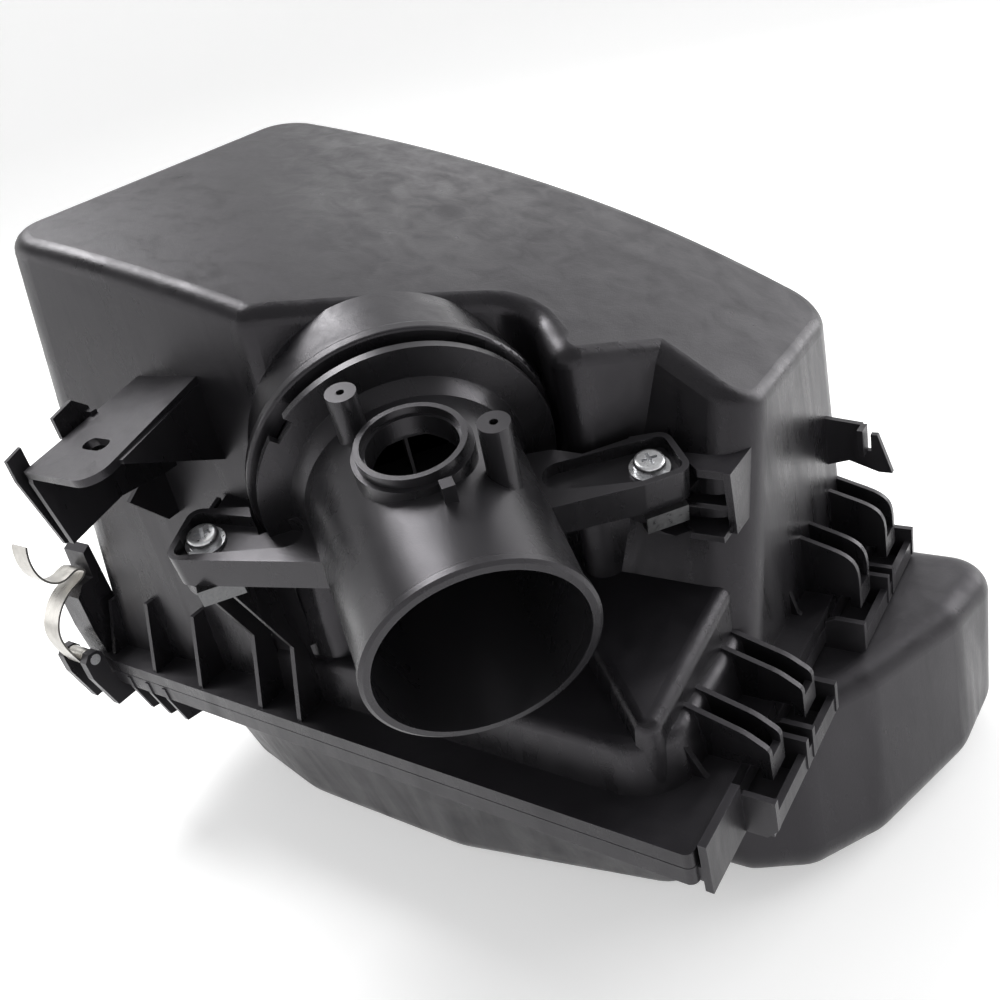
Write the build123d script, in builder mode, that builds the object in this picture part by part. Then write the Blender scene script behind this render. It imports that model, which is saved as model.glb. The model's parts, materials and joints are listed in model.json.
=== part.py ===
from build123d import *
import math
import os

os.makedirs("parts", exist_ok=True)

# Engine air filter housing. Millimetres, +Z up.
# Origin: centre of the filter opening, on the parting plane between cap and lower case.
# X runs along the long side towards the hinge, Y across towards the back.

# ---- shells --------------------------------------------------------------
wall = 2.6
rib = 2.2

# ---- flange and filter ---------------------------------------------------
flange_x0 = -180.0
flange_x1 = 142.0
flange_y = 101.0
flange_r = 40.0
cap_flange_z0 = 0.4
cap_flange_z1 = 6.4
case_flange_t = 7.0
filter_len = 260.0
filter_wid = 172.0
filter_x = 0.0
seal_w = 9.0
seal_t = 4.0
land_x0 = -122.0
land_x1 = 115.0
land_y = 79.0
media_z0 = -28.0
media_z1 = 2.0
media_t = 1.0
pleat_count = 29

# ---- cap -----------------------------------------------------------------
cap_h = 215.0
low_top = 25.0
top_r = 7.0

# ---- air tube ------------------------------------------------------------
mouth = (92.6, -109.2, 77.4)
tube_turn = -41.0
tube_dip = 14.6
tube_r = 33.0
tube_wall = 2.4
disc_z = -82.0
disc_r = 52.0
disc_t = 3.0
spigot_r = 47.0
spigot_z = -104.0
collar_r = 54.5
collar_z = -89.0
port_z = -50.0
port_top = 42.5
port_r = 14.2
port_ring_r = 17.0
pillar_top = 50.0
pillar_r = 4.9
pillars = ((-14.5, -72.2), (22.7, -36.8))
ear_x_left = -73.0
ear_z_left = -89.5
ear_x_right = 74.8
ear_z_right = -54.0
ear_seat = -5.0
ear_base = -13.0
ear_rim = 0.0

# ---- hinge ---------------------------------------------------------------
hinge_x = 151.0
hinge_z = 5.0
cap_fins_front = (-60.0, -51.0, -30.0, -21.0)
cap_fins_back = (32.0, 42.0, 66.0, 76.0)
cap_tongues = (-55.5, -25.5, 37.0, 71.0)
comb_front = (-71.0, -43.0, -37.0, -14.0)
comb_back = (20.0, 50.0, 56.0, 84.0)

# ---- spring clips --------------------------------------------------------
clip_x0 = -163.0
clip_x1 = -152.0
clip_pin_y = 106.0
clip_pin_z = 10.0
clip_t = 0.9
clip_pin_r = 2.5
seat_t = 5.0

# ---- lower case ----------------------------------------------------------
case_z = -84.0
lobe_z0 = -82.0
lobe_z1 = -9.0
neck_r = 16.0
duct_x = -70.0
duct_z = -50.0
duct_w = 62.0
duct_h = 42.0
duct_face = 90.0
lug_x = (6.0, 82.0)
lug_y = 106.0
lug_z = -62.0
grommet_r = 9.0
sleeve_r = 5.5
sleeve_bore_r = 3.3
plug_r = 9.0

tube_axis = Vector(1, 0, 0).rotate(Axis.Y, tube_dip).rotate(Axis.Z, tube_turn)
tube_side = Vector(0, 1, 0).rotate(Axis.Z, tube_turn)
tube_plane = Plane(origin=mouth, x_dir=tube_side, z_dir=tube_axis)
duct_plane = Plane(origin=(duct_x, duct_face, duct_z), x_dir=(-1, 0, 0), z_dir=(0, 1, 0))


def block(x0, x1, y0, y1, z0, z1, mode=Mode.ADD):
    with Locations(((x0 + x1) / 2, (y0 + y1) / 2, (z0 + z1) / 2)):
        Box(x1 - x0, y1 - y0, z1 - z0, mode=mode)


def plate_yz(x, t, pts, mode=Mode.ADD):
    with BuildSketch(Plane(origin=(x - t / 2, 0, 0), x_dir=(0, 1, 0), z_dir=(1, 0, 0))) as shape:
        with BuildLine():
            Polyline(*pts, close=True)
        make_face()
    extrude(shape.sketch, amount=t, mode=mode)


def plate_xz(y, t, pts, mode=Mode.ADD):
    with BuildSketch(Plane(origin=(0, y + t / 2, 0), x_dir=(1, 0, 0), z_dir=(0, -1, 0))) as shape:
        with BuildLine():
            Polyline(*pts, close=True)
        make_face()
    extrude(shape.sketch, amount=t, mode=mode)


def outline(walls, z, inset):
    # walls: (x, y, heading, lean per mm of height); returns the plan corners at height z
    lines = []
    for x, y, heading, lean in walls:
        a = math.radians(heading)
        d = inset + lean * z
        lines.append((x - math.sin(a) * d, y + math.cos(a) * d, math.cos(a), math.sin(a)))
    pts = []
    for n in range(len(lines)):
        x1, y1, c1, s1 = lines[n - 1]
        x2, y2, c2, s2 = lines[n]
        k = ((x2 - x1) * s2 - (y2 - y1) * c2) / (c1 * s2 - s1 * c2)
        pts.append((x1 + c1 * k, y1 + s1 * k))
    return pts


def prism(walls, z0, z1, inset, mode=Mode.ADD):
    with BuildSketch(Plane.XY.offset(z0)) as low:
        with BuildLine():
            Polyline(*outline(walls, z0, inset), close=True)
        make_face()
    with BuildSketch(Plane.XY.offset(z1)) as high:
        with BuildLine():
            Polyline(*outline(walls, z1, inset), close=True)
        make_face()
    loft([low.sketch, high.sketch], ruled=True, mode=mode)


def upright(part, x, y, span=14):
    # the standing edge nearest to a plan position
    edges = part.edges().filter_by(lambda e: e.length > span and abs(e.tangent_at(0.5).Z) > 0.6)
    return edges.sort_by(lambda e: math.hypot(e.center().X - x, e.center().Y - y))[0]


# walls of the tall chamber, anticlockwise from the front left
tall_walls = (
    (-100.0, -88.0, 4.0, 0.065),
    (-0.7, -68.2, 49.0, 0.02),
    (43.1, -0.1, -41.0, 0.035),
    (81.0, -22.0, 58.0, 0.02),
    (100.0, 16.0, 0.0, 0.0),
    (131.0, 0.0, 90.0, 0.01),
    (0.0, 92.0, 180.0, 0.03),
    (-161.0, 0.0, 270.0, 0.186),
)
tall_radii = (20.0, 8.0, 10.0, 8.0, 0.0, 0.0, 18.0, 20.0)
# leaning front of the chamber, right of the tube
slope_walls = (
    (100.0, -32.0, 0.0, 0.34),
    (131.0, 0.0, 90.0, 0.01),
    (0.0, 26.0, 180.0, 0.0),
    (43.1, -0.1, -41.0, 0.035),
)
# low deck under the tube, and the raised field beside it
deck_walls = (
    (0.0, -88.0, 0.0, 0.18),
    (131.0, 0.0, 90.0, 0.12),
    (0.0, 20.0, 180.0, 0.0),
    (-60.0, 0.0, 270.0, 0.0),
)
field_walls = (
    (0.0, -83.0, 0.0, 0.1),
    (126.0, 0.0, 90.0, 0.06),
    (0.0, 0.0, 180.0, 0.0),
    (84.0, -56.0, -41.0, 0.12),
)


def chamber(inset, r_top):
    with BuildPart() as body:
        prism(tall_walls, 0.0, cap_h, inset)
        for n, ((x, y), r) in enumerate(zip(outline(tall_walls, cap_h / 2, inset), tall_radii)):
            if r > 0:
                hollow = n == 2
                fillet(upright(body.part, x, y, 100), r + inset if hollow else max(r - inset, 2.0))
        prism(slope_walls, 0.0, 145.0, inset)
        with BuildSketch(Plane.XZ):
            with BuildLine():
                Spline((-190, 207 - inset), (-83, 186 - inset), (-5, 163 - inset), (65, 135 - inset),
                       (114, 109 - inset), (170, 73 - inset))
                Polyline((170, 73 - inset), (170, 260), (-190, 260), (-190, 207 - inset))
            make_face()
        extrude(amount=150, both=True, mode=Mode.SUBTRACT)
        x, y = outline(slope_walls, 50.0, inset)[1]
        fillet(upright(body.part, x, y, 60), 15.0 - inset)
        rim = body.edges().filter_by(lambda e: abs(e.tangent_at(0.5).Z) < 0.75 and e.center().Z > 75)
        fillet(rim, r_top)
    return body.part


def deck(inset, r_top):
    with BuildPart() as body:
        prism(deck_walls, 0.0, low_top - inset, inset)
        x, y = outline(deck_walls, 12.0, inset)[1]
        fillet(upright(body.part, x, y, 10), 20.0 - inset)
        fillet(body.faces().sort_by(Axis.Z)[-1].edges().filter_by(lambda e: e.center().Y < -30), r_top)
    return body.part


def field(inset, r_top):
    with BuildPart() as body:
        prism(field_walls, 2.0, 46.0, inset)
        plate_yz(60.0, 220.0, [(-110.0, 28.5 - inset), (30.0, 47.5 - inset), (30.0, 80.0), (-110.0, 80.0)],
                 Mode.SUBTRACT)
        x, y = outline(field_walls, 12.0, inset)[1]
        fillet(upright(body.part, x, y, 10), 5.0 - inset)
        fillet(body.faces().sort_by(Axis.Z)[-1].edges().filter_by(lambda e: e.center().Y < -10), r_top)
    return body.part


def local(x, y, z):
    return tube_plane.from_local_coords(Vector(x, y, z))


def tube_level(y):
    # plane square to the port, at height y above the tube axis; local x towards the mouth, local y across
    return Plane(origin=local(0, y, 0), x_dir=tube_plane.z_dir, z_dir=tube_plane.y_dir)


# top of the harness shelf: local x is X, local y runs up to the wall
shelf_top = Plane(origin=(0, -131, 132.5), x_dir=(1, 0, 0), z_dir=(0, -0.155, 0.988))
# centres of the two tube screws, on planes from tube_level
ears = ((ear_z_left, ear_x_left), (ear_z_right, ear_x_right))
seat_y = ear_base - 1.2


# ---- collar the tube plugs into ------------------------------------------
with BuildPart() as collar:
    with BuildSketch(tube_plane.offset(collar_z - 52)):
        Circle(collar_r - 3.0)
    extrude(amount=52)
    with BuildSketch(tube_plane.offset(collar_z - 5)):
        Circle(collar_r)
    extrude(amount=5)
    fillet(collar.edges().filter_by(GeomType.CIRCLE).group_by(lambda e: e.radius)[-1], 1.2)
    with Locations(Location((-4.0, -65.5, 100), (0, 0, 49))):
        Box(400, 400, 400, align=(Align.CENTER, Align.MIN, Align.CENTER), mode=Mode.SUBTRACT)

# ---- clip catch, front; the rear one is its mirror image ------------------
with BuildPart() as catch:
    plate_yz((clip_x0 + clip_x1) / 2, 15.0, [(-83, 5), (-98, 5), (-99, 20), (-98.5, 38), (-94, 42.5),
                                             (-88, 42.5), (-87, 55), (-83, 57)])

# ---- cap -----------------------------------------------------------------
with BuildPart() as cap:
    with BuildSketch(Plane.XY.offset(cap_flange_z0)):
        with Locations(((flange_x0 + flange_x1) / 2, 0)):
            RectangleRounded(flange_x1 - flange_x0, 2 * flange_y, flange_r)
        with Locations((flange_x1 - 25, 0)):
            RectangleRounded(50, 2 * flange_y, 3)
    extrude(amount=cap_flange_z1 - cap_flange_z0)
    add(chamber(0.0, top_r))
    add(deck(0.0, 5.0))
    add(field(0.0, 5.0))
    add(collar.part)
    add(catch.part)
    add(catch.part.mirror(Plane.XZ))
    # seats for the two tube screws
    with BuildSketch(tube_level(seat_y)):
        with Locations((ear_z_left, ear_x_left), (ear_z_left - 24.0, ear_x_left + 16.0)):
            Circle(12.0)
        make_hull()
    extrude(amount=-seat_t)
    with BuildSketch(tube_level(seat_y)):
        with Locations((ear_z_right, ear_x_right), (ear_z_right - 14.0, ear_x_right + 20.0)):
            Circle(11.5)
        make_hull()
    extrude(amount=-seat_t)
    plate_yz(-45.0, rib, [(-80, 30), (-89.5, 35), (-106, 76), (-106, 84), (-80, 94)])
    plate_yz(-23.0, rib, [(-80, 30), (-89.5, 34), (-105, 72), (-105, 78), (-80, 90)])
    # ribbed shelf beside the right seat
    block(104.0, 128.0, -13.0, 8.0, 82.0, 85.0)
    block(125.4, 128.0, -14.0, 8.0, 62.0, 85.0)
    block(104.0, 128.0, -13.0, 8.0, 70.0, 72.0)
    block(100.0, 126.0, -20.0, 8.0, 62.0, 64.4)
    block(104.0, 106.4, -6.0, 8.0, 62.0, 84.0)
    # gussets along the front and on the hinge side
    for x in (-113.0, -82.0, -45.0, -23.0):
        plate_yz(x, rib, [(-83, 5), (-100, 5), (-99.5, 8), (-90, 37), (-83, 37)])
    plate_yz(-146.0, rib, [(-84, 5), (-98, 5), (-88, 30), (-84, 30)])
    for y, z in ((-70.0, 26.0), (17.0, 40.0)):
        plate_xz(y, rib, [(120, 5), (137, 5), (133.5, 7), (124, z), (120, z)])
    # harness shelf on the front wall
    with BuildSketch(shelf_top):
        with BuildLine():
            Polyline((-67, 0), (-29, 0), (-38.5, 64), (-68, 64), close=True)
        make_face()
        fillet(vertices().sort_by_distance((-29, -131, 132.5))[0], 9.0)
    extrude(amount=-3.0)
    plate_yz(-65.6, 2.6, [(-70, 141), (-70, 105), (-84, 105), (-104, 107), (-128, 102), (-131, 128),
                          (-130, 132), (-84, 139)])
    plate_yz(-71.0, 1.8, [(-125, 101), (-128, 101), (-133, 129), (-133, 137), (-126.5, 139), (-126.5, 128)])
    block(-71.9, -64.5, -127.0, -124.8, 103.0, 129.0)
    plate_yz(-71.0, 1.8, [(-112, 134), (-112, 142), (-103, 144.5), (-98, 140), (-98, 134)])
    block(-71.9, -66.0, -100.5, -98.0, 133.0, 139.0)
    with BuildSketch(Plane(origin=(-31, -118, 0), x_dir=(-0.184, 0.983, 0), z_dir=(0.983, 0.184, 0))) as web:
        with BuildLine():
            Polyline((0, 132), (46, 107), (46, 139), (0, 133.5), close=True)
        make_face()
    extrude(web.sketch, amount=-2.2)
    plate_yz(-74.0, rib, [(-72, 104), (-72, 84), (-86, 84), (-98, 99), (-86, 106)])
    # hook on the hinge-side wall and tab on the left wall
    plate_xz(68.0, rib, [(127, 41), (139, 45), (150, 41), (155, 41), (150, 57), (147.5, 57), (147.5, 50),
                         (144.5, 50), (144.5, 61), (127, 63)])
    block(144.0, 146.2, 62.0, 68.0, 50.0, 61.0)
    block(-142.0, -120.0, -34.0, -22.0, 184.0, 187.0)
    # hinge knuckles
    for row, top in ((cap_fins_front, 25.0), (cap_fins_back, 32.0)):
        for y in row:
            with BuildSketch(Plane(origin=(0, y + 1.0, 0), x_dir=(1, 0, 0), z_dir=(0, -1, 0))):
                with BuildLine():
                    Polyline((124, 5), (124, top + 1), (142, top - 4.5))
                    Spline((142, top - 4.5), (149.5, top - 8.5), (152, 13), tangents=((15, -4.5), (0, -1)))
                    Polyline((152, 13), (152, 2.5), (148.5, 2.5), (148.5, 7), (141, 7), (141, 5), (124, 5))
                make_face()
            extrude(amount=2.0)
    for y in cap_tongues:
        block(149.5, 152.0, y - 5.0, y + 5.0, 2.5, 11.0)
    # hollow inside
    add(chamber(wall, top_r - wall), mode=Mode.SUBTRACT)
    add(deck(wall, 2.4), mode=Mode.SUBTRACT)
    add(field(wall, 2.4), mode=Mode.SUBTRACT)
    with BuildSketch(tube_plane.offset(collar_z)):
        Circle(spigot_r + 0.6)
    extrude(amount=-48, mode=Mode.SUBTRACT)
    # land that presses on the filter seal
    with BuildSketch(Plane.XY.offset(cap_flange_z0)):
        with Locations((-19.0, 0)):
            RectangleRounded(302.0, 190.0, 24.0)
        with Locations(((land_x0 + land_x1) / 2, 0)):
            Rectangle(land_x1 - land_x0, 2 * land_y, mode=Mode.SUBTRACT)
    extrude(amount=3.0)
    # holes
    with BuildSketch(tube_level(ear_base + 1)):
        with Locations(*ears):
            Circle(3.6)
    extrude(amount=-16.0, mode=Mode.SUBTRACT)
    with BuildSketch(shelf_top):
        with Locations((-47.5, 17.5)):
            SlotOverall(12.0, 6.0)
    extrude(amount=-4.0, mode=Mode.SUBTRACT)
    # room for the spring nuts and the tube's arms
    for z, x in ears:
        with BuildSketch(tube_level(seat_y - seat_t)):
            with Locations((z + 4.0, x)):
                Rectangle(25.0, 16.0)
        extrude(amount=-7.5, mode=Mode.SUBTRACT)
        with BuildSketch(tube_level(seat_y)):
            with Locations((z, x)):
                Rectangle(26.0, 26.0)
        extrude(amount=16.0, mode=Mode.SUBTRACT)
        with BuildSketch(tube_level(seat_y)):
            with Locations((z + 17.1, x)):
                Rectangle(9.0, 16.0)
        extrude(amount=-seat_t, mode=Mode.SUBTRACT)
    block(-200, 200, -150, 150, -5, cap_flange_z0, Mode.SUBTRACT)
    cap.part.label = "cap"
export_step(cap.part, "parts/cap.step")

# ---- air flow tube -------------------------------------------------------
tube_section = Plane(origin=tube_plane.origin, x_dir=tube_plane.x_dir, z_dir=-tube_plane.y_dir)


def arm(z_ear, x_ear, z_root, span, pad):
    # channel arm from the tube wall to a screw pad; pad lists (z, x, radius) of the pad's rounded corners
    side = 1 if x_ear > 0 else -1
    with BuildSketch(tube_level(ear_base)) as plan:
        for z, x, r in pad:
            with Locations((z_ear + z, x_ear + x)):
                Circle(r)
        with Locations((z_root, side * 33.0)):
            Rectangle(span, 6.0)
        make_hull()
    extrude(plan.sketch, amount=ear_rim - ear_base)
    with BuildSketch(tube_level(ear_seat)) as pocket:
        for z, x, r in pad:
            with Locations((z_ear + z, x_ear + x)):
                Circle(r - 2.2)
        with Locations((z_root + (z_ear - z_root) * 0.3, side * 46.0)):
            Circle(span * 0.24)
        make_hull()
    extrude(pocket.sketch, amount=10.0, mode=Mode.SUBTRACT)


with BuildPart() as tube:
    arm(ear_z_left, ear_x_left, -70.0, 26.0,
        ((4.5, -7.0, 5.0), (-7.5, 0.0, 5.0), (-2.0, 7.0, 5.0), (8.0, 4.0, 5.0)))
    arm(ear_z_right, ear_x_right, -62.0, 28.0,
        ((6.0, 6.0, 5.0), (-6.0, 6.0, 5.0), (-6.0, -6.0, 5.0), (6.0, -6.0, 5.0)))
    with BuildSketch(tube_level(ear_seat)):
        with Locations(*ears):
            Circle(7.3)
    extrude(amount=10.0, mode=Mode.SUBTRACT)
    with BuildSketch(tube_level(ear_base)):
        with BuildLine():
            Polyline((-82.0, 44.0), (-74.5, 46.0), (-66.4, 56.0), (-66.4, 73.0), (-82.0, 73.0), close=True)
        make_face()
    extrude(amount=14.0, mode=Mode.SUBTRACT)
    with BuildSketch(tube_plane.offset(disc_z - disc_t)):
        Circle(collar_r + 1.2)
    extrude(amount=-50.0, mode=Mode.SUBTRACT)
    with BuildSketch(tube_section):
        with BuildLine():
            Polyline((30.0, 0.0), (tube_r + 2.2, 0.0), (tube_r + 3.4, -0.8), (tube_r + 3.4, -2.8),
                     (tube_r + tube_wall, -4.0), (37.8, -76.0), (41.0, disc_z), (disc_r, disc_z),
                     (disc_r, disc_z - disc_t), (spigot_r, disc_z - disc_t), (spigot_r, -92.0),
                     (spigot_r - 2.2, -92.0), (spigot_r - 2.2, -95.4), (spigot_r, -95.4),
                     (spigot_r, spigot_z), (30.0, spigot_z), (30.0, 0.0))
        make_face()
    revolve(axis=Axis(tube_plane.origin, tube_plane.z_dir))
    with BuildSketch(tube_level(0.0)):
        with Locations((port_z, 0)):
            Circle(port_ring_r + 1.5)
    extrude(amount=port_top - 3.5)
    with BuildSketch(tube_level(0.0)):
        with Locations((port_z, 0)):
            Circle(port_ring_r)
    extrude(amount=port_top)
    for x, z in pillars:
        with BuildSketch(tube_level(20.0)):
            with Locations((z, x)):
                Circle(pillar_r)
        extrude(amount=pillar_top - 20.0)
    with BuildSketch(tube_level(30.0)):
        with Locations((-28.0, 4.8)):
            Rectangle(4.0, 4.0)
    extrude(amount=12.0)
    with BuildSketch(tube_section):
        with BuildLine():
            Polyline((0.0, 10.0), (tube_r, 10.0), (tube_r, -70.0))
            Spline((tube_r, -70.0), (35.6, -86.0), (44.4, -106.0), tangents=((0, -1), (1, -0.6)))
            Polyline((44.4, -106.0), (0.0, -106.0), (0.0, 10.0))
        make_face()
    revolve(axis=Axis(tube_plane.origin, tube_plane.z_dir), mode=Mode.SUBTRACT)
    with BuildSketch(tube_level(0.0)):
        with Locations((port_z, 0)):
            Circle(port_r)
    extrude(amount=port_top + 1, mode=Mode.SUBTRACT)
    with BuildSketch(tube_level(port_top - 3.0)):
        with Locations((port_z, 0)):
            Circle(port_r + 1.0)
    extrude(amount=4.0, mode=Mode.SUBTRACT)
    for x, z in pillars:
        with BuildSketch(tube_level(pillar_top)):
            with Locations((z, x)):
                Circle(1.3)
        extrude(amount=-10.0, mode=Mode.SUBTRACT)
    with BuildSketch(tube_level(ear_base - 1)):
        with Locations(*ears):
            Circle(3.4)
    extrude(amount=20.0, mode=Mode.SUBTRACT)
    with BuildSketch(tube_plane.offset(disc_z + 1)):
        with Locations(Location((-disc_r * 0.72, disc_r * 0.72), (0, 0, 45))):
            Rectangle(9.0, 9.0)
    extrude(amount=-disc_t - 1, mode=Mode.SUBTRACT)
    tube.part.label = "air_flow_tube"
export_step(tube.part, "parts/air_flow_tube.step")

with BuildPart() as o_ring:
    with BuildSketch(tube_section):
        with Locations((spigot_r - 0.8, -93.7)):
            Circle(1.4)
    revolve(axis=Axis(tube_plane.origin, tube_plane.z_dir))
    o_ring.part.label = "tube_o_ring"
export_step(o_ring.part, "parts/tube_o_ring.step")

with BuildPart() as straightener:
    with BuildSketch(tube_plane.offset(-74.0)):
        Circle(tube_r)
        Circle(tube_r - 1.6, mode=Mode.SUBTRACT)
        Rectangle(2 * tube_r - 1, 1.0)
        Rectangle(1.0, 2 * tube_r - 1)
        with Locations((-16, 0), (16, 0)):
            Rectangle(1.0, 56.0)
        with Locations((0, -16), (0, 16)):
            Rectangle(56.0, 1.0)
    extrude(amount=9.2)
    straightener.part.label = "flow_straightener"
export_step(straightener.part, "parts/flow_straightener.step")

# ---- tube fasteners: two alike at each place ------------------------------
with BuildPart() as screws:
    with BuildSketch(tube_level(ear_seat + 1.2)):
        with Locations(*ears):
            Circle(5.5)
    extrude(amount=3.8)
    for head in screws.faces().sort_by(Axis(tube_plane.origin, tube_plane.y_dir))[-2:]:
        fillet(head.edges(), 1.4)
    with BuildSketch(tube_level(ear_seat + 5.0)):
        with Locations(*ears):
            Rectangle(5.6, 1.3)
            Rectangle(1.3, 5.6)
    extrude(amount=-2.2, mode=Mode.SUBTRACT)
    with BuildSketch(tube_level(ear_seat + 1.2)):
        with Locations(*ears):
            Circle(3.0)
    extrude(amount=-22.0)
    screws.part.label = "tube_screws"
export_step(screws.part, "parts/tube_screws.step")

with BuildPart() as washers:
    with BuildSketch(tube_level(ear_seat)):
        with Locations(*ears):
            Circle(7.0)
            Circle(3.2, mode=Mode.SUBTRACT)
    extrude(amount=1.2)
    washers.part.label = "tube_washers"
export_step(washers.part, "parts/tube_washers.step")

with BuildPart() as nuts:
    for z, x in ears:
        with BuildSketch(tube_level(ear_base)):
            with Locations((z + 3.0, x)):
                RectangleRounded(21.0, 15.0, 1.0)
            with Locations((z, x)):
                Circle(3.3, mode=Mode.SUBTRACT)
        extrude(amount=-1.0)
        with BuildSketch(tube_level(seat_y - seat_t)):
            with Locations((z + 3.0, x)):
                RectangleRounded(21.0, 15.0, 1.0)
            with Locations((z, x)):
                Circle(3.0, mode=Mode.SUBTRACT)
        extrude(amount=-1.0)
        with BuildSketch(tube_level(seat_y - seat_t)):
            with Locations((z, x)):
                Circle(5.0)
                Circle(3.0, mode=Mode.SUBTRACT)
        extrude(amount=-5.0)
        with BuildSketch(tube_level(ear_base)):
            with Locations((z + 13.1, x)):
                Rectangle(0.9, 15.0)
        extrude(amount=-2.2 - seat_t)
    nuts.part.label = "tube_nuts"
export_step(nuts.part, "parts/tube_nuts.step")


# ---- spring clips and their pins -----------------------------------------
clip_plane = Plane(origin=(clip_x0, 0, 0), x_dir=(0, 1, 0), z_dir=(1, 0, 0))
with BuildPart() as clip:
    with BuildSketch(clip_plane):
        with BuildLine() as bend:
            Spline((-109.2, 9.0), (-112.4, 20), (-112.6, 27), (-108, 36), (-102, 40.8), (-96.5, 42.9), (-91, 44.6),
                   (-89.2, 46.6), (-91, 48.6), (-98, 48.2), (-103, 49.4), (-107, 54), (-108.8, 61), (-107, 71))
        trace(line_width=clip_t)
    extrude(amount=clip_x1 - clip_x0)
    with BuildSketch(clip_plane):
        with Locations((-clip_pin_y, clip_pin_z)):
            Circle(clip_pin_r + 0.08 + clip_t)
    extrude(amount=clip_x1 - clip_x0)
    with BuildSketch(clip_plane):
        with Locations((-clip_pin_y, clip_pin_z)):
            Circle(clip_pin_r + 0.08)
    extrude(amount=clip_x1 - clip_x0, mode=Mode.SUBTRACT)
    clip.part.label = "front_clip"
export_step(clip.part, "parts/front_clip.step")
rear_clip = clip.part.mirror(Plane.XZ)
rear_clip.label = "rear_clip"
export_step(rear_clip, "parts/rear_clip.step")

with BuildPart() as pin:
    with BuildSketch(Plane(origin=(clip_x0 - 5.5, 0, 0), x_dir=(0, 1, 0), z_dir=(1, 0, 0))):
        with Locations((-clip_pin_y, clip_pin_z)):
            Circle(clip_pin_r)
    extrude(amount=clip_x1 - clip_x0 + 11.0)
    pin.part.label = "front_clip_pin"
export_step(pin.part, "parts/front_clip_pin.step")
rear_pin = pin.part.mirror(Plane.XZ)
rear_pin.label = "rear_clip_pin"
export_step(rear_pin, "parts/rear_clip_pin.step")

# ---- filter element ------------------------------------------------------
media_x0 = filter_x - filter_len / 2 + 13.0
media_x1 = filter_x + filter_len / 2 - 22.0
media_y = 69.5
with BuildPart() as seal:
    with BuildSketch(Plane.XY.offset(-seal_t)):
        with Locations((filter_x, 0)):
            RectangleRounded(filter_len, filter_wid, 8.0)
        with Locations(((media_x0 + media_x1) / 2, 0)):
            Rectangle(media_x1 - media_x0, 2 * media_y, mode=Mode.SUBTRACT)
    extrude(amount=seal_t + 0.1)
    seal.part.label = "filter_seal"
export_step(seal.part, "parts/filter_seal.step")

pitch = (media_x1 - media_x0) / pleat_count
top_line = []
for n in range(pleat_count):
    top_line.append((media_x0 + n * pitch, media_z0 + 1.0))
    top_line.append((media_x0 + (n + 0.5) * pitch, media_z1))
top_line.append((media_x1, media_z0 + 1.0))
under = [(x, z - 6.0 if z > 0 else z - 1.0) for x, z in reversed(top_line)]
with BuildPart() as media:
    with BuildSketch(Plane(origin=(0, media_y, 0), x_dir=(1, 0, 0), z_dir=(0, -1, 0))):
        with BuildLine():
            Polyline(*top_line, *under, close=True)
        make_face()
    extrude(amount=2 * media_y)
    media.part.label = "filter_media"
export_step(media.part, "parts/filter_media.step")

with BuildPart() as mesh:
    with BuildSketch(Plane.XY.offset(media_z1)):
        with Locations(((media_x0 + media_x1) / 2, 0)):
            Rectangle(media_x1 - media_x0 + 4, 2 * media_y)
            Rectangle(media_x1 - media_x0, 2 * media_y - 4, mode=Mode.SUBTRACT)
            with GridLocations(14.0, 0, 16, 1):
                Rectangle(0.9, 2 * media_y - 2)
            with GridLocations(0, 14.0, 1, 10):
                Rectangle(media_x1 - media_x0 + 2, 0.9)
    extrude(amount=0.8)
    with BuildSketch(Plane.XY.offset(0.1)):
        with Locations(((media_x0 + media_x1) / 2, 0)):
            Rectangle(media_x1 - media_x0 + 4, 2 * media_y)
            Rectangle(media_x1 - media_x0, 2 * media_y + 2, mode=Mode.SUBTRACT)
    extrude(amount=2.7)
    mesh.part.label = "filter_mesh"
export_step(mesh.part, "parts/filter_mesh.step")


# ---- lower case ----------------------------------------------------------
# plan corners (x, y, corner radius): the body at its rim and floor, the resonator at its floor and lid
bowl_rim = ((-128.0, -80.0, 20.0), (-70.0, -86.6, 60.0), (30.0, -86.6, 60.0), (122.5, -83.0, 18.0),
            (122.5, 88.4, 20.0), (-128.0, 88.4, 20.0))
bowl_floor = ((-131.0, -60.0, 20.0), (-74.0, -73.5, 60.0), (10.0, -73.5, 60.0), (110.0, -52.0, 18.0),
              (112.0, 80.0, 20.0), (-131.0, 80.0, 20.0))
lobe_foot = ((100, -47, 0), (130, -45, 12), (152, -33, 20), (170, -8, 30), (187, 46, 30), (188, 94, 16),
             (100, 94, 0))
lobe_head = ((100, -28, 0), (124, -28, 10), (144, -18, 16), (162, 12, 24), (181, 54, 30), (191, 94, 16),
             (100, 94, 0))


def bowl(inset):
    # tapering body under the flange
    with BuildPart() as body:
        sections = []
        for z, corners in ((-3.5, bowl_rim), (case_z + inset, bowl_floor)):
            with BuildSketch(Plane.XY.offset(z)) as ring:
                with BuildLine():
                    Polyline(*[(x, y) for x, y, r in corners], close=True)
                make_face()
                for x, y, r in corners:
                    fillet(ring.vertices().sort_by_distance((x, y, z))[0], r)
                offset(amount=-inset - 0.001)
            sections.append(ring.sketch)
        loft(sections, ruled=True)
        fillet(body.faces().sort_by(Axis.Z)[0].edges(), 15.0 - inset)
    return body.part


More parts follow.
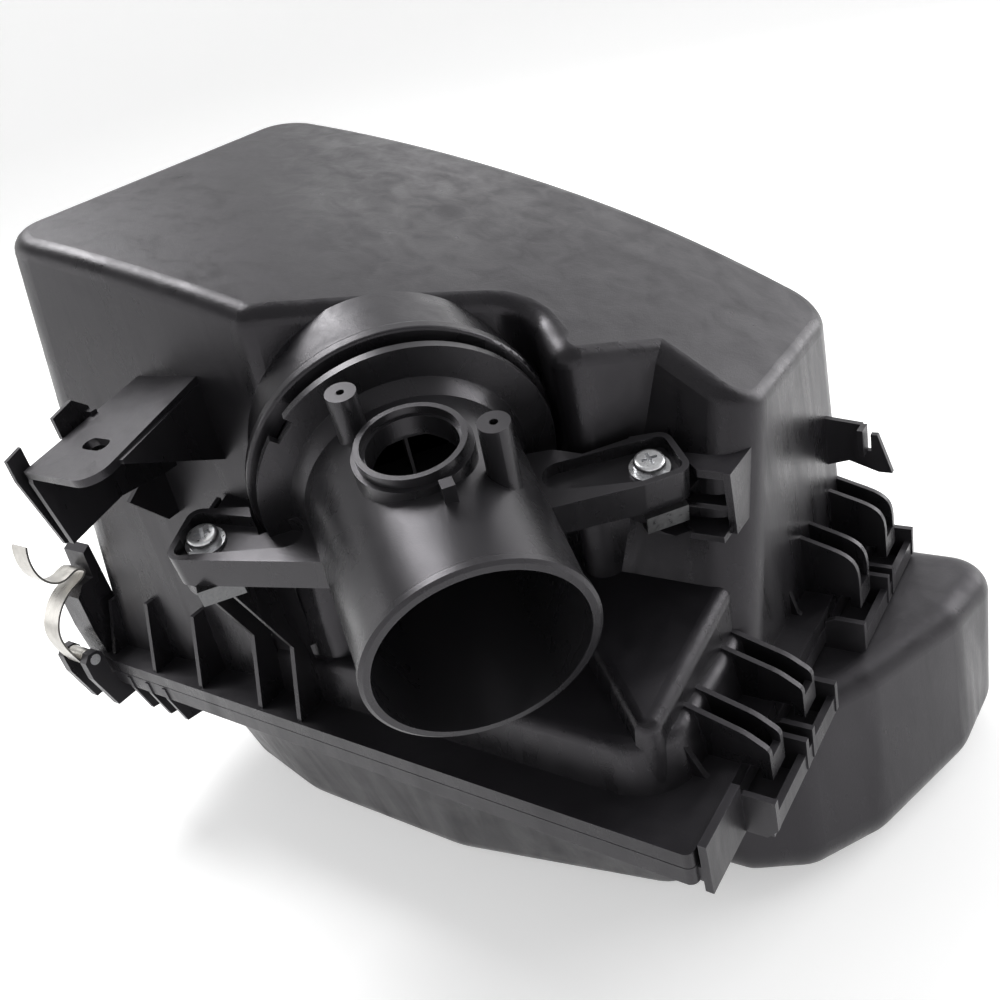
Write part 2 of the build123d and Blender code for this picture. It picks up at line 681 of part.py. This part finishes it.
def lobe(inset):
    # resonator chamber beside the case
    with BuildPart() as body:
        sections = []
        for z, corners in ((lobe_z0 + inset, lobe_foot), (lobe_z1 - inset, lobe_head)):
            with BuildSketch(Plane.XY.offset(z)) as ring:
                with BuildLine():
                    Polyline(*[(x, y) for x, y, r in corners], close=True)
                make_face()
                for x, y, r in corners:
                    if r > 0:
                        fillet(ring.vertices().sort_by_distance((x, y, z))[0], r)
                offset(amount=-inset - 0.001)
            sections.append(ring.sketch)
        loft(sections, ruled=True)
        fillet(body.faces().sort_by(Axis.Z)[-1].edges().filter_by(lambda e: e.center().X > 101), 10.0 - inset)
        fillet(body.faces().sort_by(Axis.Z)[0].edges().filter_by(lambda e: e.center().X > 101), 14.0 - inset)
    return body.part


with BuildPart() as case:
    # ribs between skirt and body
    for x in (-135.0, -122.0, -110.0):
        plate_yz(x, rib, [(-78, -1), (-101.6, -1), (-101.6, -7), (-98, -22), (-78, -26)])
    for x in (-80.0, -40.0, 0.0, 40.0, 80.0, 110.0):
        plate_yz(x, rib, [(-70, -1), (-99.5, -1), (-99.5, -7), (-84, -20), (-70, -20)])
    for x in (-135.0, -122.0, 0.0, 40.0, 80.0, 110.0):
        plate_yz(x, rib, [(82, -1), (99.5, -1), (99.5, -7), (82, -22)])
    for y in (-60.0, -20.0, 20.0, 60.0):
        plate_xz(y, rib, [(-122, -1), (-178.5, -1), (-178.5, -7), (-122, -34)])
    # hinge comb
    for y in comb_front + comb_back:
        plate_xz(y, rib, [(139, -1), (142.4, 0), (142.4, 3), (146, 5), (157, 5), (157, -7), (153, -11.5),
                          (139, -11.5)])
    for y0, y1 in ((comb_front[0], comb_front[-1]), (comb_back[0], comb_back[-1])):
        block(154.0, 156.5, y0, y1, -8.0, -1.0)
        block(139.0, 155.0, y0, y1, -11.5, -9.5)
    block(143.2, 146.0, -98.0, -72.0, -11.5, 9.0)
    block(139.0, 145.4, -98.0, -72.0, -7.0, -1.0)
    block(142.6, 145.4, 85.0, 96.0, -11.5, 7.0)
    block(139.0, 145.4, 85.0, 96.0, -7.0, -1.0)
    # the resonator stands against these ribs
    add(lobe(0.0), mode=Mode.SUBTRACT)
    # flange and body
    with BuildSketch(Plane.XY.offset(-case_flange_t)):
        with Locations(((flange_x0 + flange_x1) / 2, 0)):
            RectangleRounded(flange_x1 - flange_x0, 2 * flange_y, flange_r)
        with Locations((flange_x1 - 25, 0)):
            RectangleRounded(50, 2 * flange_y, 3)
    extrude(amount=case_flange_t)
    add(bowl(0.0))
    # flange underside is cored out, leaving a skirt
    with BuildSketch(Plane.XY.offset(-case_flange_t)) as skirt:
        with Locations(((flange_x0 + flange_x1) / 2, 0)):
            RectangleRounded(flange_x1 - flange_x0 - 5, 2 * flange_y - 5, flange_r - 2.5)
        with Locations((-2.5, 0)):
            RectangleRounded(271, 183, 10, mode=Mode.SUBTRACT)
        for x in (-135.0, -122.0, -110.0, -80.0, -40.0, 0.0, 40.0, 80.0, 110.0):
            with Locations((x, 0)):
                Rectangle(rib, 210, mode=Mode.SUBTRACT)
        for y in (-60.0, -20.0, 20.0, 60.0):
            with Locations((-150, y)):
                Rectangle(60, rib, mode=Mode.SUBTRACT)
    extrude(skirt.sketch, amount=4.4, mode=Mode.SUBTRACT)
    # lugs that carry the clip pins
    for side in (-1, 1):
        for x in (clip_x0 - 3.2, clip_x1 + 3.2):
            plate_yz(x, 4.4, [(side * 88, -1), (side * 101.8, -1), (side * 101.8, 11), (side * 103.6, 13.6),
                              (side * 108, 14), (side * 111, 11), (side * 111, 2), (side * 106, -17),
                              (side * 96, -17), (side * 88, -9)])
    # pad for the inlet duct
    block(duct_x - 46.0, duct_x + 46.0, 78.0, duct_face, duct_z - 31.0, duct_z + 31.0)
    # rear mounting lugs
    for x in lug_x:
        block(x - 16.0, x + 16.0, 78.0, lug_y, lug_z - 3.0, lug_z + 3.0)
        with Locations((x, lug_y, lug_z)):
            Cylinder(16.0, 6.0)
        for dx in (-15.0, 15.0):
            plate_yz(x + dx, rib, [(78, lug_z), (lug_y - 4, lug_z), (84, lug_z + 24), (78, lug_z + 24)])
    # hollow, seal recess, holes
    add(bowl(wall), mode=Mode.SUBTRACT)
    block(-115.0, 107.0, -76.0, 76.0, -10.0, 1.0, Mode.SUBTRACT)
    with BuildSketch():
        with Locations((filter_x, 0)):
            RectangleRounded(filter_len + 0.4, filter_wid + 0.4, 8.2)
    extrude(amount=-seal_t, mode=Mode.SUBTRACT)
    block(154.0, 160.0, -10.0, 16.0, -20.0, 20.0, Mode.SUBTRACT)
    with Locations(Location((-160, -clip_pin_y, clip_pin_z), (0, 90, 0)),
                   Location((-160, clip_pin_y, clip_pin_z), (0, 90, 0))):
        Cylinder(clip_pin_r, 60.0, mode=Mode.SUBTRACT)
    with Locations(*[(x, lug_y, lug_z) for x in lug_x]):
        Cylinder(grommet_r, 10.0, mode=Mode.SUBTRACT)
    with Locations(Location((116, 30, -46), (0, 90, 0))):
        Cylinder(neck_r, 30.0, mode=Mode.SUBTRACT)
    with BuildSketch(duct_plane):
        SlotOverall(duct_w - 5, duct_h - 5)
    extrude(amount=-20.0, mode=Mode.SUBTRACT)
    with BuildSketch(duct_plane):
        with GridLocations(duct_w + 14, duct_h + 2, 2, 2):
            Circle(2.0)
    extrude(amount=-6.0, mode=Mode.SUBTRACT)
    with Locations((-40.0, 0.0, case_z)):
        Cylinder(plug_r, 12.0, mode=Mode.SUBTRACT)
    case.part.label = "lower_case"
export_step(case.part, "parts/lower_case.step")

with BuildPart() as resonator:
    add(lobe(0.0))
    add(lobe(wall), mode=Mode.SUBTRACT)
    add(bowl(0.0), mode=Mode.SUBTRACT)
    resonator.part.label = "resonator_chamber"
export_step(resonator.part, "parts/resonator_chamber.step")

with BuildPart() as duct:
    with BuildSketch(duct_plane):
        RectangleRounded(duct_w + 26, duct_h + 14, 8)
    extrude(amount=4.0)
    with BuildSketch(duct_plane):
        SlotOverall(duct_w, duct_h)
    extrude(amount=36.0)
    with BuildSketch(duct_plane.offset(31.0)):
        SlotOverall(duct_w + 4, duct_h + 4)
    extrude(amount=3.0)
    with BuildSketch(duct_plane):
        SlotOverall(duct_w - 5, duct_h - 5)
    extrude(amount=40.0, mode=Mode.SUBTRACT)
    with BuildSketch(duct_plane):
        with GridLocations(duct_w + 14, duct_h + 2, 2, 2):
            Circle(2.2)
    extrude(amount=4.0, mode=Mode.SUBTRACT)
    duct.part.label = "inlet_duct"
export_step(duct.part, "parts/inlet_duct.step")

with BuildPart() as duct_screws:
    with BuildSketch(duct_plane.offset(4.0)):
        with GridLocations(duct_w + 14, duct_h + 2, 2, 2):
            Circle(4.0)
    extrude(amount=2.6)
    with BuildSketch(duct_plane.offset(6.6)):
        with GridLocations(duct_w + 14, duct_h + 2, 2, 2):
            Rectangle(4.0, 1.0)
            Rectangle(1.0, 4.0)
    extrude(amount=-1.5, mode=Mode.SUBTRACT)
    with BuildSketch(duct_plane.offset(4.0)):
        with GridLocations(duct_w + 14, duct_h + 2, 2, 2):
            Circle(2.0)
    extrude(amount=-9.5)
    duct_screws.part.label = "inlet_screws"
export_step(duct_screws.part, "parts/inlet_screws.step")

# ---- rubber and steel at the rear lugs, plug in the floor -----------------
with BuildPart() as grommets:
    for x in lug_x:
        with Locations((x, lug_y, lug_z)):
            Cylinder(grommet_r, 10.0)
        with Locations((x, lug_y, lug_z - 4.0), (x, lug_y, lug_z + 4.0)):
            Cylinder(grommet_r + 3.5, 2.0)
        with Locations((x, lug_y, lug_z)):
            Cylinder(sleeve_r, 14.0, mode=Mode.SUBTRACT)
    grommets.part.label = "mount_grommets"
export_step(grommets.part, "parts/mount_grommets.step")

with BuildPart() as sleeves:
    with Locations(*[(x, lug_y, lug_z) for x in lug_x]):
        Cylinder(sleeve_r, 12.0)
        Cylinder(sleeve_bore_r, 14.0, mode=Mode.SUBTRACT)
    sleeves.part.label = "mount_sleeves"
export_step(sleeves.part, "parts/mount_sleeves.step")

with BuildPart() as plug:
    with Locations((-40.0, 0.0, case_z)):
        Cylinder(plug_r, wall, align=(Align.CENTER, Align.CENTER, Align.MIN))
    with Locations((-40.0, 0.0, case_z + wall)):
        Cylinder(plug_r + 2.5, 2.4, align=(Align.CENTER, Align.CENTER, Align.MIN))
    with Locations((-40.0, 0.0, case_z)):
        Cylinder(5.0, 1.6, align=(Align.CENTER, Align.CENTER, Align.MIN), mode=Mode.SUBTRACT)
    plug.part.label = "drain_plug"
export_step(plug.part, "parts/drain_plug.step")
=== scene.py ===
import json
import math

import bmesh
import bpy
from mathutils import Matrix, Vector


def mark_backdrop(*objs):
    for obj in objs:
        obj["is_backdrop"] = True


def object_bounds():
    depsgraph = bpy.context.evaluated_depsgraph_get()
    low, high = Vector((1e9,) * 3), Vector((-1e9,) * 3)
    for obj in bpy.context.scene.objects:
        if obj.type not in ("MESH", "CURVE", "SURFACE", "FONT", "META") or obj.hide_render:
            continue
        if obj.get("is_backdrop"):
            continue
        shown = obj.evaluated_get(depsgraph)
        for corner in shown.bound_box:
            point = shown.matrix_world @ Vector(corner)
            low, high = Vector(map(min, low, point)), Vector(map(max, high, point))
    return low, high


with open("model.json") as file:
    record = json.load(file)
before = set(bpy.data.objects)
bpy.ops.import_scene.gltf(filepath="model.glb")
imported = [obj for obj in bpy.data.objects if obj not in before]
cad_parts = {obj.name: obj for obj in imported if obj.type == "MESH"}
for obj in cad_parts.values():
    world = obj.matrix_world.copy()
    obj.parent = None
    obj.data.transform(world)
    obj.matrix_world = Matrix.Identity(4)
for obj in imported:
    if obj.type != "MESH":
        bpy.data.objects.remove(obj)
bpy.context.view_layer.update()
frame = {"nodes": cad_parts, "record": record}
nodes = frame["nodes"]

MM = 0.001


# ---- materials -------------------------------------------------------------
def times(factor, colour):
    """A colour made lighter or darker."""
    return tuple(factor * c for c in colour)


class Net:
    """A small helper that builds one node material."""

    def __init__(self, name):
        self.m = bpy.data.materials.new(name)
        self.m.use_nodes = True
        self.t = self.m.node_tree
        self.t.nodes.clear()
        out = self.t.nodes.new("ShaderNodeOutputMaterial")
        self.b = self.t.nodes.new("ShaderNodeBsdfPrincipled")
        self.t.links.new(self.b.outputs[0], out.inputs[0])
        self.co = self.t.nodes.new("ShaderNodeTexCoord")

    def link(self, a, b):
        self.t.links.new(a, b)

    def put(self, sock, v):
        """Link a socket, set a value, or leave the default for None."""
        if hasattr(v, "is_output"):
            self.link(v, sock)
        elif v is not None:
            sock.default_value = v

    def place(self, stretch):
        """Object coordinates, stretched along each axis where asked."""
        if stretch is None:
            return self.co.outputs["Object"]
        n = self.t.nodes.new("ShaderNodeMapping")
        n.inputs["Scale"].default_value = stretch
        self.link(self.co.outputs["Object"], n.inputs["Vector"])
        return n.outputs[0]

    def noise(self, scale, detail=2.0, rough=0.5, stretch=None, distortion=0.0):
        n = self.t.nodes.new("ShaderNodeTexNoise")
        n.inputs["Scale"].default_value = scale
        n.inputs["Detail"].default_value = detail
        n.inputs["Roughness"].default_value = rough
        n.inputs["Distortion"].default_value = distortion
        self.link(self.place(stretch), n.inputs["Vector"])
        return n.outputs[0]

    def cells(self, scale, stretch=None):
        n = self.t.nodes.new("ShaderNodeTexVoronoi")
        n.feature = "F1"
        n.inputs["Scale"].default_value = scale
        self.link(self.place(stretch), n.inputs["Vector"])
        return n.outputs[0]

    def math(self, op, a, b, clamp=False):
        n = self.t.nodes.new("ShaderNodeMath")
        n.operation = op
        n.use_clamp = clamp
        self.put(n.inputs[0], a)
        self.put(n.inputs[1], b)
        return n.outputs[0]

    def span(self, v, a, b, c=0.0, d=1.0, smooth=False):
        """Map the range a..b of v onto c..d."""
        n = self.t.nodes.new("ShaderNodeMapRange")
        if smooth:
            n.interpolation_type = "SMOOTHSTEP"
        for k, x in enumerate((v, a, b, c, d)):
            self.put(n.inputs[k], x)
        return n.outputs[0]

    def mix(self, f, a, b):
        n = self.t.nodes.new("ShaderNodeMix")
        n.data_type = "RGBA"
        self.put(n.inputs[0], f)
        for sock, v in ((n.inputs[6], a), (n.inputs[7], b)):
            self.put(sock, (*v, 1.0) if isinstance(v, tuple) else v)
        return n.outputs[2]

    def facing_up(self, low, high):
        """0 on walls, 1 on faces that look up."""
        n = self.t.nodes.new("ShaderNodeSeparateXYZ")
        self.link(self.co.outputs["Normal"], n.inputs[0])
        return self.span(n.outputs[2], low, high, smooth=True)

    def edges(self, radius):
        """1 on sharp outer and inner edges, 0 on open faces."""
        bev = self.t.nodes.new("ShaderNodeBevel")
        bev.samples = 4
        bev.inputs["Radius"].default_value = radius
        geo = self.t.nodes.new("ShaderNodeNewGeometry")
        dot = self.t.nodes.new("ShaderNodeVectorMath")
        dot.operation = "DOT_PRODUCT"
        self.link(bev.outputs[0], dot.inputs[0])
        self.link(geo.outputs["Normal"], dot.inputs[1])
        return self.span(dot.outputs["Value"], 1.0, 0.86, 0.0, 1.0)

    def bump(self, *layers):
        """Stack bump layers, each a height socket and its depth in metres."""
        last = None
        for height, depth in layers:
            n = self.t.nodes.new("ShaderNodeBump")
            n.inputs["Strength"].default_value = 1.0
            n.inputs["Distance"].default_value = depth
            self.link(height, n.inputs["Height"])
            if last is not None:
                self.link(last, n.inputs["Normal"])
            last = n.outputs[0]
        self.link(last, self.b.inputs["Normal"])

    def shader(self, colour, rough, metal=0.0, **more):
        self.put(self.b.inputs["Base Color"], (*colour, 1.0) if isinstance(colour, tuple) else colour)
        self.put(self.b.inputs["Roughness"], rough)
        self.b.inputs["Metallic"].default_value = metal
        for k, v in more.items():
            self.b.inputs[k.replace("_", " ")].default_value = v
        return self.m


def moulded(name, dark, light, gloss, matte, grain, streak=1.0):
    """Moulded black polypropylene.

    dark and gloss are the colour and roughness of its walls, light and matte those of faces
    that look up (the lighter colour there is painted light from above), grain the depth of its
    surface grain, and streak the strength of flow marks.
    """
    n = Net(name)
    up = n.facing_up(0.72, 0.95)
    fine = n.noise(2600.0, 3.0, 0.6)
    pores = n.noise(900.0, 2.0, 0.5)
    broad = n.noise(14.0, 4.0, 0.55)
    flow = n.noise(1.0, 3.0, 0.6, stretch=(90.0, 90.0, 9.0), distortion=0.6)
    smear = n.noise(1.0, 3.0, 0.6, stretch=(22.0, 45.0, 30.0), distortion=1.2)
    scratch = n.span(n.noise(1.0, 2.0, 0.5, stretch=(60.0, 900.0, 260.0)), 0.66, 0.74)
    # lighter, less rough sharp edges: partly edge wear, partly a painted highlight along outer and inner
    # edges
    wear_and_edge_highlight = n.math("MULTIPLY", n.edges(0.9 * MM), n.span(n.noise(70.0, 3.0, 0.6), 0.35, 0.7))
    dust = n.math("MULTIPLY", up, n.span(broad, 0.4, 0.7, 0.0, 0.25))

    # faces that look up are painted lighter, as painted light from above, plus broad random tone
    top_light_and_tone = n.math("ADD", n.math("MULTIPLY", up, 0.55), n.span(broad, 0.3, 0.7, 0.0, 0.14), clamp=True)
    colour = n.mix(top_light_and_tone, dark, light)
    for mask, strength, lighter in ((dust, 0.35, 1.5), (wear_and_edge_highlight, 0.55, 2.6), (scratch, 0.10, 2.2)):
        colour = n.mix(n.math("MULTIPLY", mask, strength), colour, times(lighter, light))

    rough = n.span(up, 0.0, 1.0, gloss, matte)
    rough = n.math("ADD", rough, n.span(flow, 0.3, 0.7, -0.09 * streak, 0.11 * streak))
    rough = n.math("ADD", rough, n.span(smear, 0.3, 0.7, -0.05 * streak, 0.07 * streak))
    rough = n.math("SUBTRACT", rough, n.math("MULTIPLY", wear_and_edge_highlight, 0.08), clamp=True)

    n.bump((broad, 0.12 * MM * streak), (flow, 0.05 * MM * streak), (pores, 0.6 * grain), (fine, grain))
    return n.shader(colour, rough, Specular_IOR_Level=0.46, IOR=1.49, Specular_Tint=(0.97, 0.93, 1.0, 1.0))


def zinc(name, shade):
    """Zinc plate, its colours scaled by shade; a shade below 1 paints shade onto it."""
    n = Net(name)
    fine = n.noise(1.0, 3.0, 0.6, stretch=(900.0, 900.0, 900.0))
    spangle = n.cells(420.0)
    dim = times(shade, (0.70, 0.705, 0.72))
    bright = times(shade, (0.88, 0.885, 0.90))
    rubbed = times(shade, (0.93, 0.935, 0.94))
    colour = n.mix(n.span(fine, 0.3, 0.7), dim, bright)
    colour = n.mix(n.math("MULTIPLY", n.edges(0.4 * MM), 0.4), colour, rubbed)
    rough = n.math("ADD", n.span(spangle, 0.0, 0.6, 0.24, 0.34), n.span(fine, 0.3, 0.7, -0.03, 0.05))
    n.bump((fine, 0.008 * MM), (spangle, 0.008 * MM))
    return n.shader(colour, rough, 1.0)


def spring():
    """Satin spring steel, brushed along its strip."""
    n = Net("spring_steel_satin")
    brush = n.noise(1.0, 4.0, 0.65, stretch=(2400.0, 60.0, 60.0))
    blot = n.noise(160.0, 3.0, 0.6)
    colour = n.mix(n.span(blot, 0.3, 0.7), (0.39, 0.375, 0.352), (0.54, 0.525, 0.494))
    colour = n.mix(n.math("MULTIPLY", n.edges(0.4 * MM), 0.5), colour, (0.78, 0.76, 0.72))
    rough = n.math("ADD", n.span(brush, 0.3, 0.7, 0.24, 0.40), n.span(blot, 0.3, 0.7, -0.03, 0.05))
    n.bump((brush, 0.02 * MM), (blot, 0.02 * MM))
    return n.shader(colour, rough, 1.0)


def rubber():
    """Matt black rubber with a faint bloom."""
    n = Net("black_rubber_matt")
    fine = n.noise(1800.0, 3.0, 0.6)
    bloom = n.noise(60.0, 4.0, 0.6)
    colour = n.mix(n.span(bloom, 0.35, 0.7), (0.010, 0.010, 0.0105), (0.024, 0.0235, 0.024))
    colour = n.mix(n.math("MULTIPLY", n.edges(0.6 * MM), 0.3), colour, (0.05, 0.05, 0.05))
    n.bump((bloom, 0.1 * MM), (fine, 0.04 * MM))
    return n.shader(colour, n.span(bloom, 0.3, 0.7, 0.62, 0.80))


def foam():
    """The filter's grey moulded seal."""
    n = Net("seal_foam_grey")
    skin = n.noise(700.0, 3.0, 0.6)
    blot = n.noise(30.0, 4.0, 0.6)
    colour = n.mix(n.span(blot, 0.3, 0.7), (0.085, 0.085, 0.080), (0.15, 0.148, 0.138))
    n.bump((blot, 0.2 * MM), (skin, 0.06 * MM))
    return n.shader(colour, n.span(skin, 0.3, 0.7, 0.55, 0.75))


def paper():
    """Embossed filter paper with fibres."""
    n = Net("filter_paper_pleated")
    fibre = n.noise(1.0, 5.0, 0.7, stretch=(500.0, 1400.0, 500.0), distortion=1.0)
    blot = n.noise(22.0, 4.0, 0.6)
    emboss = n.cells(1.0, stretch=(260.0, 260.0, 260.0))
    colour = n.mix(n.span(fibre, 0.3, 0.7), (0.70, 0.62, 0.44), (0.86, 0.79, 0.62))
    colour = n.mix(n.span(blot, 0.4, 0.75, 0.0, 0.35), colour, (0.55, 0.47, 0.33))
    n.bump((emboss, 0.12 * MM), (fibre, 0.06 * MM))
    return n.shader(colour, n.span(fibre, 0.3, 0.7, 0.75, 0.92))


look_of_slot = {
    "housing_plastic": moulded("housing_plastic_black", (0.0065, 0.0062, 0.0070), (0.0175, 0.0165, 0.0193),
                               gloss=0.29, matte=0.39, grain=0.055 * MM),
    "tube_plastic": moulded("tube_plastic_satin", (0.0105, 0.0102, 0.0112), (0.021, 0.0202, 0.0225),
                            gloss=0.27, matte=0.33, grain=0.03 * MM, streak=0.3),
    "zinc_steel": zinc("zinc_bright", 1.0),
    "spring_steel": spring(),
    "black_rubber": rubber(),
    "seal_foam": foam(),
    "filter_paper": paper(),
}
lower_plastic = moulded("housing_plastic_lower", (0.0115, 0.0110, 0.0122), (0.034, 0.0325, 0.0366),
                        gloss=0.33, matte=0.40, grain=0.05 * MM)
# a darker copy of the tube plastic: painted shade on the flow straightener deep inside the tube
tube_plastic_shaded = moulded("tube_plastic_painted_shade", (0.0030, 0.0029, 0.0032), (0.0040, 0.0039, 0.0043),
                        gloss=0.66, matte=0.70, grain=0.03 * MM, streak=0.3)
# nodes that differ from the usual look of their slot
look_of_node = {
    "lower_case": lower_plastic,
    "resonator_chamber": lower_plastic,
    "inlet_duct": lower_plastic,
    "flow_straightener": tube_plastic_shaded,
    # tube_nuts: zinc at 0.18 of its colour, painted shade on the nuts that sit under the pads
    "tube_nuts": zinc("zinc_painted_shade", 0.18),
}

for part in frame["record"]["subparts"]:
    look = look_of_node.get(part["node"], look_of_slot[part["material_slot"]])
    slots = nodes[part["node"]].data.materials
    if len(slots) == 0:
        slots.append(look)
    for k in range(len(slots)):
        slots[k] = look


# ---- floor, light, camera --------------------------------------------------
def studio_floor(height):
    """A wide flat floor whose rim bends up into a backdrop."""
    sides = 96
    profile = ((0.6, 0.0), (1.4, 0.0), (1.9, 0.02), (2.4, 0.12), (2.9, 0.36), (3.3, 0.8), (3.6, 1.6))
    turns = [math.tau * k / sides for k in range(sides)]
    ground = bmesh.new()
    inner = None
    for radius, rise in profile:
        ring = [ground.verts.new((radius * math.cos(a), radius * math.sin(a), rise)) for a in turns]
        if inner is None:
            ground.faces.new(ring)
        else:
            for k in range(sides):
                after = (k + 1) % sides
                ground.faces.new((ring[k], ring[after], inner[after], inner[k]))
        inner = ring
    bmesh.ops.recalc_face_normals(ground, faces=ground.faces)
    if sum(f.normal.z for f in ground.faces) < 0:
        bmesh.ops.reverse_faces(ground, faces=ground.faces)
    mesh = bpy.data.meshes.new("studio_floor")
    ground.to_mesh(mesh)
    ground.free()
    for face in mesh.polygons:
        face.use_smooth = True
    mesh.materials.append(Net("studio_pale").shader(
        (0.86, 0.86, 0.86), 0.9, Specular_IOR_Level=0.1,
        Emission_Color=(1.0, 1.0, 1.0, 1.0), Emission_Strength=0.40))
    floor = bpy.data.objects.new("studio_floor", mesh)
    floor.location = (0.0, 0.0, height)
    bpy.context.scene.collection.objects.link(floor)
    return floor


def white_world(strength):
    """An even white sky."""
    world = bpy.data.worlds.new("studio")
    bpy.context.scene.world = world
    world.use_nodes = True
    sky = world.node_tree.nodes["Background"]
    sky.inputs[0].default_value = (1.0, 1.0, 1.0, 1.0)
    sky.inputs[1].default_value = strength


def softbox(name, place, wide, tall, power):
    """A rectangular light, aimed at the middle of the housing."""
    middle = Vector((0.0, 0.0, 0.05))
    data = bpy.data.lights.new(name, "AREA")
    data.shape = "RECTANGLE"
    data.size, data.size_y, data.energy = wide, tall, power
    ob = bpy.data.objects.new(name, data)
    ob.location = place
    ob.rotation_mode = "QUATERNION"
    ob.rotation_quaternion = (middle - Vector(place)).to_track_quat("-Z", "Y")
    bpy.context.scene.collection.objects.link(ob)


def photo_camera(place, right, down, ahead, lens):
    """The camera, standing where the photograph was taken from."""
    data = bpy.data.cameras.new("camera")
    data.lens, data.sensor_width = lens, 36.0
    data.clip_start, data.clip_end = 0.01, 20.0
    cam = bpy.data.objects.new("camera", data)
    bpy.context.scene.collection.objects.link(cam)
    axes = (Vector(right).normalized(), -Vector(down).normalized(), -Vector(ahead).normalized())
    turn = Matrix(axes).transposed().to_quaternion()
    cam.matrix_world = Matrix.Translation(place) @ turn.to_matrix().to_4x4()
    bpy.context.scene.camera = cam


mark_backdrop(studio_floor(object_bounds()[0].z))
white_world(0.42)
softbox("key_upper_left", (-0.66, 0.15, 1.08), wide=0.52, tall=0.52, power=13.5)
softbox("soft_right_back", (0.84, 1.02, 0.56), wide=0.8, tall=0.95, power=11.0)
softbox("soft_top_back", (-0.22, 1.28, 0.88), wide=1.5, tall=0.75, power=5.2)
softbox("soft_left", (-1.15, -0.72, 0.42), wide=0.7, tall=0.7, power=2.2)
photo_camera((0.2552, -0.2748, 0.2544), right=(0.814, 0.536, -0.222), down=(0.115, -0.523, -0.844),
             ahead=(-0.569, 0.662, -0.488), lens=36.7)
bpy.context.scene.view_settings.view_transform = "Standard"

bpy.context.view_layer.update()
